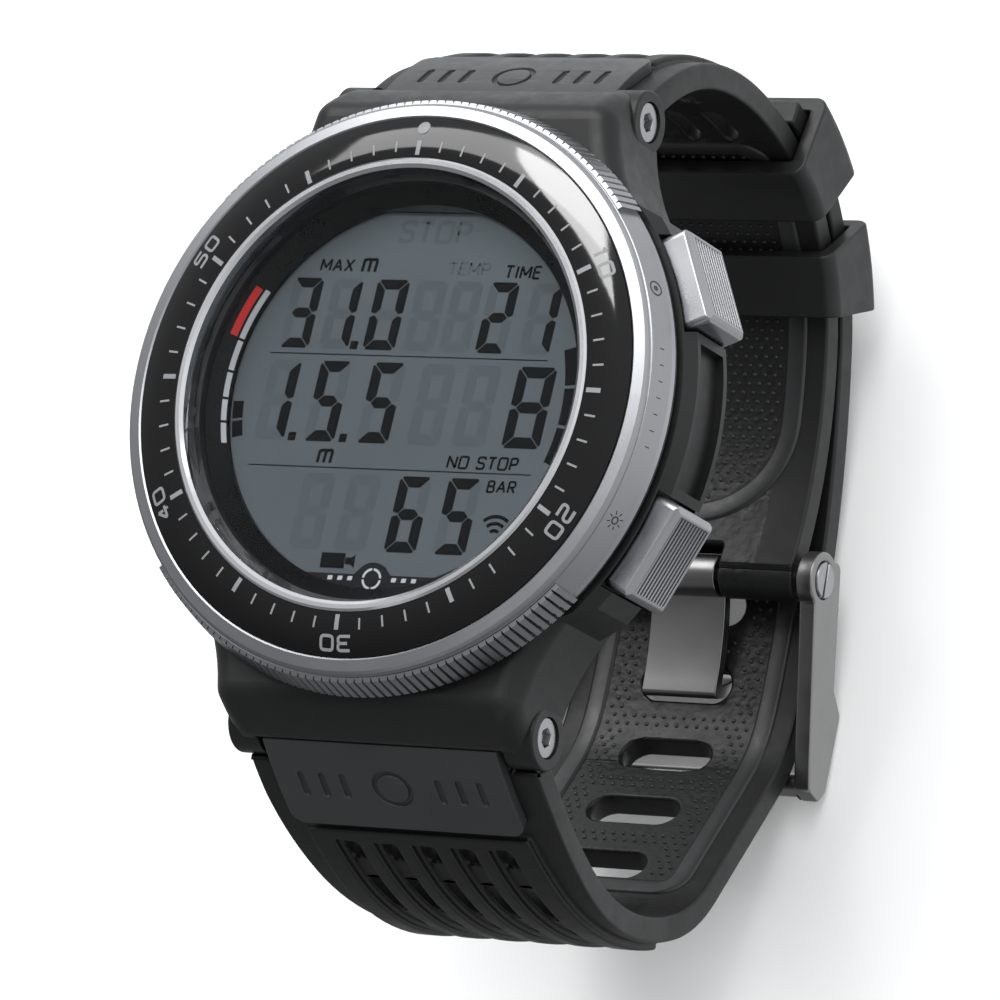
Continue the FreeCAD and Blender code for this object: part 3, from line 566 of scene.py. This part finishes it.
def insert_numbers():
    bm = bmesh.new()
    centre_r = 22.0
    apart = 0.82
    for minute in (10, 20, 30, 40, 50):
        for digit_name, shift in zip(str(minute), (-apart, apart)):
            def put(x, y, top):
                lift = MARK_OVER if top else MARK_UNDER
                return on_crown(minute_angle(minute), x + shift, centre_r + y, lift)
            for points in DIGIT_LINES[digit_name]:
                ribbon(bm, bent(points, 0.34), 0.125, put)
    return bm


def insert_pip():
    """Round marker at 12 o'clock."""
    bm = bmesh.new()
    count = 24
    centre_r = 22.1
    shrink = 0.93
    rim = [polar(0.6, 360 / count * i) for i in range(count)]
    centre = bm.verts.new(on_crown(90, 0, centre_r, 0.10))
    low = [bm.verts.new(on_crown(90, p[0], centre_r + p[1], MARK_UNDER)) for p in rim]
    high = [bm.verts.new(on_crown(90, p[0] * shrink, centre_r + p[1] * shrink, 0.05)) for p in rim]
    bm.faces.new(low)
    for i in range(count):
        j = (i + 1) % count
        bm.faces.new((low[i], low[j], high[j], high[i]))
        bm.faces.new((high[i], high[j], centre))
    return bm


piece("scale_ticks", insert_ticks(), INK)
piece("scale_numbers", insert_numbers(), INK)
piece("scale_pip", insert_pip(), INK, smooth_deg=50)


# ---------------------------------------------------------------- display
SEGMENTS = {
    "0": "abcdef", "1": "bc", "2": "abged", "3": "abgcd", "5": "afgcd", "6": "afgedc", "8": "abcdefg",
}


def segment_outlines(w, h, t):
    """The seven segments of a digit in its own cell: outer corners cut back, thin gaps between segments."""
    g = 0.06
    m = h / 2
    k = t / 2
    c = 0.34
    e = c / 2
    return {
        "a": [(e + g, h - e), (c, h), (w - c, h), (w - e - g, h - e), (w - t - g, h - t), (t + g, h - t)],
        "b": [(w, h - c), (w - e, h - e - g), (w - t, h - t - g), (w - t, m + k + g), (w - k, m + g),
              (w, m + g + k * 0.4)],
        "c": [(w, c), (w - e, e + g), (w - t, t + g), (w - t, m - k - g), (w - k, m - g),
              (w, m - g - k * 0.4)],
        "d": [(e + g, e), (c, 0), (w - c, 0), (w - e - g, e), (w - t - g, t), (t + g, t)],
        "e": [(0, c), (e, e + g), (t, t + g), (t, m - k - g), (k, m - g), (0, m - g - k * 0.4)],
        "f": [(0, h - c), (e, h - e - g), (t, h - t - g), (t, m + k + g), (k, m + g), (0, m + g + k * 0.4)],
        "g": [(k + g, m), (t + g, m + k), (w - t - g, m + k), (w - k - g, m), (w - t - g, m - k),
              (t + g, m - k)],
    }


SLANT = 0.075
INK_LOW = Z_LCD_TOP - 0.02
INK_HIGH = Z_LCD_TOP + 0.02


def digit(bm, names, x, y, w, h, t, high=INK_HIGH):
    for name in names:
        outline = [(x + px + SLANT * py, y + py) for px, py in segment_outlines(w, h, t)[name]]
        prism(bm, outline, INK_LOW, high)


# each row: foot, height and stroke of its digits, then its cells
# each cell: (digit or None for an unlit one, x of its lower left corner, width)
ROW_TOP = (4.0, 6.1, 0.86, [("3", -12.9, 2.9), ("1", -9.0, 2.85), ("0", -4.75, 3.1), (None, -0.9, 2.9),
                            (None, 2.6, 2.8), ("2", 6.05, 2.8), ("1", 10.2, 2.85)])
ROW_MIDDLE = (-4.0, 6.95, 0.96, [("1", -13.8, 2.95), ("5", -8.95, 3.0), ("5", -3.85, 3.1), (None, 1.0, 3.1),
                                 (None, 5.3, 3.1), ("8", 10.05, 3.6)])
ROW_LOW = (-13.2, 6.5, 0.94, [(None, -8.6, 3.0), (None, -4.2, 3.0), ("6", 0.6, 3.05), ("5", 5.25, 3.1)])
# foot of each decimal point
POINTS = ((-5.62, 4.0), (-10.1, -4.0), (-5.15, -4.0))


def display_digits():
    lit = bmesh.new()
    unlit = bmesh.new()
    for y, h, t, cells in (ROW_TOP, ROW_MIDDLE, ROW_LOW):
        for value, x, w in cells:
            on = SEGMENTS[value] if value else ""
            digit(lit, on, x, y, w, h, t)
            digit(unlit, [s for s in "abcdefg" if s not in on], x, y, w, h, t, INK_HIGH - 0.008)
    for x, y in POINTS:
        point = [(x - 0.36, y), (x + 0.36, y), (x + 0.42, y + 0.72), (x - 0.30, y + 0.72)]
        prism(lit, point, INK_LOW, INK_HIGH)
    return lit, unlit


def display_lines(bm):
    """Two thin rules between the rows."""
    half = 0.045
    for y, x0, x1 in ((3.52, -13.6, 13.1), (-6.2, -13.8, 13.3)):
        prism(bm, [(x0, y - half), (x1, y - half), (x1, y + half), (x0, y + half)], INK_LOW, INK_HIGH)


def ring_sector(bm, r0, r1, a0, a1, low, high, steps=8, height=None):
    """Sector of a flat ring; height(radius) lays it on a sloping surface instead."""
    rows = []
    for i in range(steps + 1):
        a = a0 + (a1 - a0) * i / steps
        row = []
        for radius in (r0, r1):
            base = height(radius) if height else 0.0
            row.append((polar(radius, a, base + low), polar(radius, a, base + high)))
        rows.append(row)
    slab(bm, rows)


def display_bars(bm):
    """Bar graphs along both edges of the display."""
    for a0, a1 in ((17, 5.5), (4.5, -7), (-8, -19.5)):
        ring_sector(bm, 15.15, 16.35, a0, a1, INK_LOW, INK_HIGH)
    for a0, a1 in ((182.8, 188.2), (189.0, 194.0)):
        ring_sector(bm, 15.35, 16.35, a0, a1, INK_LOW, INK_HIGH)


def display_signs(bm):
    """Signal arcs beside the pressure figure and a cylinder sign at the bottom."""
    for r0, r1 in ((0.45, 0.75), (1.05, 1.35), (1.65, 1.95)):
        sector = bmesh.new()
        ring_sector(sector, r0, r1, 50, 130, INK_LOW, INK_HIGH)
        for v in sector.verts:
            v.co.x += 10.75
            v.co.y -= 11.6
        join_into(bm, sector)
    body = [(-5.2, -14.75), (-2.9, -14.75), (-2.9, -13.45), (-5.2, -13.45)]
    valve = [(-2.85, -14.4), (-2.3, -14.4), (-1.95, -14.7), (-1.95, -13.5), (-2.3, -13.8), (-2.85, -13.8)]
    prism(bm, body, INK_LOW, INK_HIGH)
    prism(bm, valve, INK_LOW, INK_HIGH)


# each letter: width over height, and centre lines in a cell from -0.5 to 0.5 both ways
LETTERS = {
    "A": (0.80, [[(-0.5, -0.5), (0, 0.5)], [(0, 0.5), (0.5, -0.5)], [(-0.32, -0.16), (0.32, -0.16)]]),
    "B": (0.64, [[(-0.5, -0.5), (-0.5, 0.5)], [(-0.5, 0.5), (0.42, 0.5), (0.42, 0.03), (-0.5, 0.03)],
                 [(-0.5, 0.03), (0.5, 0.03), (0.5, -0.5), (-0.5, -0.5)]]),
    "E": (0.60, [[(0.5, 0.5), (-0.5, 0.5)], [(-0.5, 0.5), (-0.5, -0.5)], [(-0.5, -0.5), (0.5, -0.5)],
                 [(-0.5, 0.02), (0.4, 0.02)]]),
    "I": (0.10, [[(0, -0.5), (0, 0.5)]]),
    "M": (0.88, [[(-0.5, -0.5), (-0.5, 0.5)], [(-0.5, 0.5), (0, -0.25)], [(0, -0.25), (0.5, 0.5)],
                 [(0.5, 0.5), (0.5, -0.5)]]),
    "N": (0.76, [[(-0.5, -0.5), (-0.5, 0.5)], [(-0.5, 0.5), (0.5, -0.5)], [(0.5, -0.5), (0.5, 0.5)]]),
    "O": (0.78, [[(0, 0.5), (0.5, 0.5), (0.5, -0.5), (-0.5, -0.5), (-0.5, 0.5), (0.02, 0.5)]]),
    "P": (0.62, [[(-0.5, -0.5), (-0.5, 0.5)], [(-0.5, 0.5), (0.5, 0.5), (0.5, -0.04), (-0.5, -0.04)]]),
    "R": (0.64, [[(-0.5, -0.5), (-0.5, 0.5)], [(-0.5, 0.5), (0.46, 0.5), (0.46, -0.02), (-0.5, -0.02)],
                 [(0.0, -0.02), (0.5, -0.5)]]),
    "S": (0.66, [[(0.5, 0.30), (0.5, 0.5), (-0.5, 0.5), (-0.5, 0.04), (0.5, -0.04), (0.5, -0.5), (-0.5, -0.5),
                  (-0.5, -0.30)]]),
    "T": (0.70, [[(-0.5, 0.5), (0.5, 0.5)], [(0, 0.5), (0, -0.5)]]),
    "X": (0.76, [[(-0.5, -0.5), (0.5, 0.5)], [(-0.5, 0.5), (0.5, -0.5)]]),
    "m": (0.86, [[(-0.5, -0.5), (-0.5, 0.26)], [(-0.5, 0.2), (0, 0.3), (0, -0.5)],
                 [(0, 0.2), (0.5, 0.3), (0.5, -0.5)]]),
    " ": (0.30, []),
}


def label(bm, words, height, x, y, slant=0.12):
    """Generic lettering flat on the display, centred on a point."""
    gap = 0.34
    weight = 0.10
    bend = 0.22 * height

    def put(px, py, top):
        return (x + px + slant * py, y + py, INK_HIGH if top else INK_LOW)

    pen = -0.5 * (sum(LETTERS[c][0] for c in words) + gap * (len(words) - 1))
    for character in words:
        width, strokes = LETTERS[character]
        middle = pen + width / 2
        for stroke in strokes:
            line = bent([((middle + px * width) * height, py * height) for px, py in stroke], bend)
            ribbon(bm, line, weight * height, put)
        pen += width + gap


lit_parts, unlit_parts = display_digits()
display_lines(lit_parts)
display_bars(lit_parts)
display_signs(lit_parts)
label(lit_parts, "MAX", 0.98, -8.5, 11.25)
label(lit_parts, "m", 1.42, -5.35, 11.45)
label(lit_parts, "TIME", 1.0, 9.4, 11.0)
label(lit_parts, "m", 1.42, -6.5, -5.1)
label(lit_parts, "NO STOP", 0.98, 8.6, -5.35)
label(lit_parts, "BAR", 0.92, 10.75, -7.3)
label(unlit_parts, "STOP", 1.7, 0.4, 14.3, 0.1)
label(unlit_parts, "TEMP", 1.0, 4.2, 11.2)
piece("display_lit", lit_parts, SEGMENT_ON)
piece("display_unlit", unlit_parts, SEGMENT_OFF)


# ---------------------------------------------------------------- flange round the display
def flange_height(radius):
    return Z_WINDOW + (radius - WINDOW_R) * (Z_MASK_TOP - Z_WINDOW) / (FLANGE_R - WINDOW_R)


def flange_white():
    bm = bmesh.new()
    for a0, a1 in ((149.0, 164.6), (165.4, 174.2), (175.0, 182.2), (183.0, 189.2), (190.0, 196.0)):
        ring_sector(bm, 16.58, 16.92, a0, a1, -0.02, 0.02, 8, flange_height)
    return bm


def flange_red():
    bm = bmesh.new()
    ring_sector(bm, 17.08, 17.55, 149.6, 164.6, -0.02, 0.02, 10, flange_height)
    return bm


def dial_foot():
    """Black shelf across the bottom of the display, arched over a plain round mark."""
    bm = bmesh.new()
    shelf_y = -15.2
    arch_r = 1.75
    arch_y = -15.9
    outline = [polar(16.6, a)[:2] for a in range(247, 294, 3)]
    arch = [(x, y + arch_y) for x, y, _ in [polar(arch_r, a) for a in range(36, 148, 8)]]
    top = [(6.3, shelf_y), (arch_r, shelf_y)] + arch + [(-arch_r, shelf_y), (-6.3, shelf_y)]
    prism(bm, outline + top, Z_LCD_TOP + 0.03, Z_LCD_TOP + 0.10)
    return bm


def dial_marks():
    """Plain ring and short bars on the shelf."""
    bm = bmesh.new()
    high = Z_LCD_TOP + 0.12
    low = Z_LCD_TOP + 0.08
    foot = -15.75
    head = -15.4
    mark = bmesh.new()
    for a0 in range(0, 360, 90):
        ring_sector(mark, 0.72, 0.92, a0 + 6, a0 + 84, low, high, 8)
    for v in mark.verts:
        v.co.y -= 15.55
    join_into(bm, mark)
    for side in (-1, 1):
        for i in range(3):
            x = side * (2.1 + 0.95 * i)
            prism(bm, [(x - 0.22, foot), (x + 0.22, foot), (x + 0.27, head), (x - 0.17, head)], low, high)
    return bm


piece("flange_scale", flange_white(), INK_WHITE)
piece("flange_limit", flange_red(), INK_RED)
piece("dial_foot", dial_foot(), MAT["mask_black"])
piece("dial_marks", dial_marks(), INK_WHITE)


# ---------------------------------------------------------------- signs on the bezel flank
def on_flank(degrees, across, rise, lift):
    """Point on the sloping flank of the bezel, rise above its lower edge."""
    radius = FLANK_R - FLANK_LEAN * rise + lift
    x, y, _ = polar(radius, degrees + math.degrees(across / radius))
    return (x, y, FLANK_Z + rise)


def flank_loop(bm, degrees, rise, r0, r1):
    rows = []
    steps = 28
    for i in range(steps + 1):
        a = 2 * math.pi * i / steps
        rows.append([(on_flank(degrees, r * math.cos(a), rise + r * math.sin(a), MARK_UNDER),
                      on_flank(degrees, r * math.cos(a), rise + r * math.sin(a), FLANK_OVER))
                     for r in (r0, r1)])
    slab(bm, rows)


def flank_bar(bm, degrees, rise, angle, r0, r1, half):
    a = math.radians(angle)
    along = (math.cos(a), math.sin(a))
    rows = []
    for r in (r0, r1):
        row = []
        for side in (-half, half):
            u = along[0] * r - along[1] * side
            v = along[1] * r + along[0] * side
            row.append((on_flank(degrees, u, rise + v, MARK_UNDER),
                        on_flank(degrees, u, rise + v, FLANK_OVER)))
        rows.append(row)
    slab(bm, rows)


def flank_signs():
    bm = bmesh.new()
    middle = 1.15
    target = 22.5
    sun = -24.0
    flank_loop(bm, target, middle, 0.55, 0.68)
    flank_loop(bm, target, middle, 0.06, 0.24)
    flank_loop(bm, sun, middle, 0.24, 0.36)
    for i in range(8):
        flank_bar(bm, sun, middle, 45 * i + 22.5, 0.5, 0.82, 0.045)
    for i in range(7):
        flank_bar(bm, -9.0 + 3.2 * i, middle, 90, -0.22, 0.22, 0.04)
    return bm


piece("flank_signs", flank_signs(), INK_DARK)


# ---------------------------------------------------------------- strap inside: grip studs and borders
def outward(angle):
    """Direction in the YZ plane at an angle in degrees."""
    return Vector((math.cos(math.radians(angle)), math.sin(math.radians(angle))))


def walk(point, angle, steps):
    """Inner surface of a strap half in YZ, as in the CAD: arcs (radius, turn) and straights (length, 0)."""
    pieces = []
    point = Vector(point)
    for size, bend in steps:
        if bend:
            centre = point - outward(angle) * size
            pieces.append((centre, size, angle, bend, size * math.radians(bend)))
            angle -= bend
            point = centre + outward(angle) * size
        else:
            along = Vector((math.sin(math.radians(angle)), -math.cos(math.radians(angle))))
            pieces.append((point.copy(), along, angle, 0, size))
            point = point + along * size
    return pieces


def on_strap(pieces, s, x, lift):
    """Point at a distance along a strap half; lift is outward from its inner surface."""
    for first, second, angle, bend, length in pieces:
        if s <= length or pieces[-1][0] == first:
            if bend:
                angle = angle - bend * s / length
                base = first + outward(angle) * second
            else:
                base = first + second * s
            base = base + outward(angle) * lift
            return (x, base[0], base[1])
        s -= length


CORNER_R = 19.4
TAIL_R = 22.2
TAIL_START = -16
TAIL_SWEEP_R = 90.0
PATH_12 = walk((24.5, 2.7), 56, [(21.7, 44), (33.77, 24), (CORNER_R, 63), (40.0, 29.5)])
CORNER = PATH_12[2][0]
PATH_6 = walk(CORNER + outward(TAIL_START) * TAIL_R, TAIL_START,
              [(TAIL_R, 59), (TAIL_SWEEP_R, 21), (14.0, 30.5), (14.0, 0), (11.0, 33.5), (26.0, 40),
               (42.0, 22.5)])
FIRST_SLOT = PATH_6[0][4] + TAIL_SWEEP_R * math.radians(19.8)


def stud(bm, path, s, x, radius, height):
    """Low rounded stud standing inwards from the strap."""
    sides = 8
    rings = []
    for share, rise in ((1.0, 0.06), (0.82, -height * 0.62), (0.42, -height * 0.95)):
        around = [polar(radius * share, 360 / sides * i) for i in range(sides)]
        rings.append([bm.verts.new(on_strap(path, s + v, x + u, rise)) for u, v, _ in around])
    tip = bm.verts.new(on_strap(path, s, x, -height))
    bm.faces.new(rings[0])
    for low, high in zip(rings, rings[1:]):
        for i in range(sides):
            j = (i + 1) % sides
            bm.faces.new((low[i], low[j], high[j], high[i]))
    for i in range(sides):
        bm.faces.new((rings[-1][i], rings[-1][(i + 1) % sides], tip))


def studs(path, s0, s1, half, round_ends, slots):
    """Staggered rows of studs that keep clear of the slots."""
    bm = bmesh.new()
    pitch = 1.0
    row_pitch = 0.8
    slot_clear_s = 2.5
    slot_clear_x = 5.3
    rows = int((s1 - s0) / row_pitch)
    for i in range(rows + 1):
        s = s0 + row_pitch * i
        reach = half
        for end, side in ((s0, -1), (s1, 1)):
            into = (end - s) * side
            if side in round_ends and into < half:
                reach = min(reach, math.sqrt(max(half * half - (half - into) ** 2, 0.0)))
        count = int(half / pitch) + 1
        for k in range(-count, count + 1):
            x = pitch * (k + 0.5 * (i % 2))
            if abs(x) > reach:
                continue
            if any(abs(s - m) < slot_clear_s and abs(x) < slot_clear_x for m in slots):
                continue
            stud(bm, path, s, x, 0.22, 0.14)
    return bm


def bead(path, s0, s1, half, round_ends):
    """Raised border round the studded zone; round_ends lists which ends are half circles."""
    width = 1.9
    height = 0.2
    longest_step = 1.2
    line = []
    corner = 2.0
    arc_steps = 12
    for end, side in ((s0, -1), (s1, 1)):
        radius = half if side in round_ends else corner
        arc = []
        for i in range(arc_steps + 1):
            x, s, _ = polar(radius, 90 * i / arc_steps)
            arc.append((half - radius + x, end + side * (s - radius)))
        arc = arc + [(-x, s) for x, s in reversed(arc)]
        line += arc if side == 1 else [(-x, s) for x, s in arc]
    full = []
    for i, (x, s) in enumerate(line):
        nx, ns = line[(i + 1) % len(line)]
        length = math.hypot(nx - x, ns - s)
        if length < 1e-6:
            continue
        steps = max(1, int(length / longest_step))
        full += [(x + (nx - x) * k / steps, s + (ns - s) * k / steps) for k in range(steps)]
    bm = bmesh.new()
    section = [(-0.5, 0.05), (-0.46, -0.7), (-0.34, -1.0), (0.34, -1.0), (0.46, -0.7), (0.5, 0.05)]
    loops = []
    total = len(full)
    for i in range(total):
        x, s = full[i]
        ax, as_ = full[i - 1]
        bx, bs = full[(i + 1) % total]
        tangent = Vector((bx - ax, bs - as_)).normalized()
        side = Vector((tangent.y, -tangent.x))
        loop = []
        for across, rise in section:
            p = Vector((x, s)) + side * across * width
            loop.append(bm.verts.new(on_strap(path, p.y, p.x, height * rise if rise < 0 else 0.05)))
        loops.append(loop)
    count = len(section)
    for i in range(total):
        here, there = loops[i], loops[(i + 1) % total]
        for j in range(count):
            k = (j + 1) % count
            bm.faces.new((here[j], here[k], there[k], there[j]))
    return bm


SLOTS = [FIRST_SLOT + SLOT_PITCH * i for i in range(-4, 5)]
GRIP_HALF = 7.3
BORDER_HALF = 8.6
piece("grip_12", studs(PATH_12, 33.5, 66.5, GRIP_HALF, (1,), []), GRIP, smooth_deg=60)
piece("grip_12_border", bead(PATH_12, 32.1, 67.9, BORDER_HALF, (1,)), GRIP, smooth_deg=60)
piece("grip_6", studs(PATH_6, 2.0, 77.0, GRIP_HALF, (), SLOTS), GRIP, smooth_deg=60)
piece("grip_6_border", bead(PATH_6, 1.0, 78.4, BORDER_HALF, ()), GRIP, smooth_deg=60)


# ---------------------------------------------------------------- button springs, copied onto the case body
for name, angle in BUTTON_ANGLES:
    node = "button_%s_spring" % name
    coil = add_object(node + "_coil", NODES[node].data.copy(), MAT["screw_steel"])
    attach(coil, CASE)
    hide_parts(node)
    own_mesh(coil)


# ---------------------------------------------------------------- who sees which lamp
gloss_only = bpy.data.collections.new("gloss_only")
others = bpy.data.collections.new("others")
for obj in scene.objects:
    if obj.type == "MESH":
        glossy = obj in (NODES["bezel_insert"], NODES["crystal"])
        (gloss_only if glossy else others).objects.link(obj)
bright_card.light_linking.receiver_collection = gloss_only
wide_card.light_linking.receiver_collection = gloss_only
key.light_linking.receiver_collection = others


# ---------------------------------------------------------------- studio walls and floor
world = bpy.data.worlds.new("world")
world.use_nodes = True
walls = world.node_tree
walls.nodes["Background"].inputs["Color"].default_value = (0.97, 0.985, 1.0, 1)
toward_window = walls.nodes.new("ShaderNodeVectorMath")
toward_window.operation = "DOT_PRODUCT"
toward_window.inputs[0].default_value = (0.45, 0.85, 0)
walls.links.new(walls.nodes.new("ShaderNodeTexCoord").outputs["Generated"], toward_window.inputs[1])
walls.links.new(spread(walls, toward_window.outputs["Value"], WALL_DARK, WALL_BRIGHT, -0.6, 0.45),
                walls.nodes["Background"].inputs["Strength"])
scene.world = world

FLOOR_GAP = 0.0002
FLOOR_COLOR = (0.93, 0.93, 0.93)
low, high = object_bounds()
bpy.ops.mesh.primitive_plane_add(size=3, location=(0, 0, low[2] - FLOOR_GAP))
floor = bpy.context.object
floor.name = "floor"
floor.visible_glossy = False
floor.visible_diffuse = False
floor.visible_shadow = False
floor_mat, floor_tree, floor_shader = start_material("m_floor", FLOOR_COLOR, 0.7)
tint(floor_tree, floor_shader, FLOOR_COLOR,
     spread(floor_tree, noise(floor_tree, object_place(floor_tree), 8), 0.46, 0.54))
floor.data.materials.append(floor_mat)
others.objects.link(floor)
floor_only = bpy.data.collections.new("floor_only")
floor_only.objects.link(floor)
floor_wash.light_linking.receiver_collection = floor_only
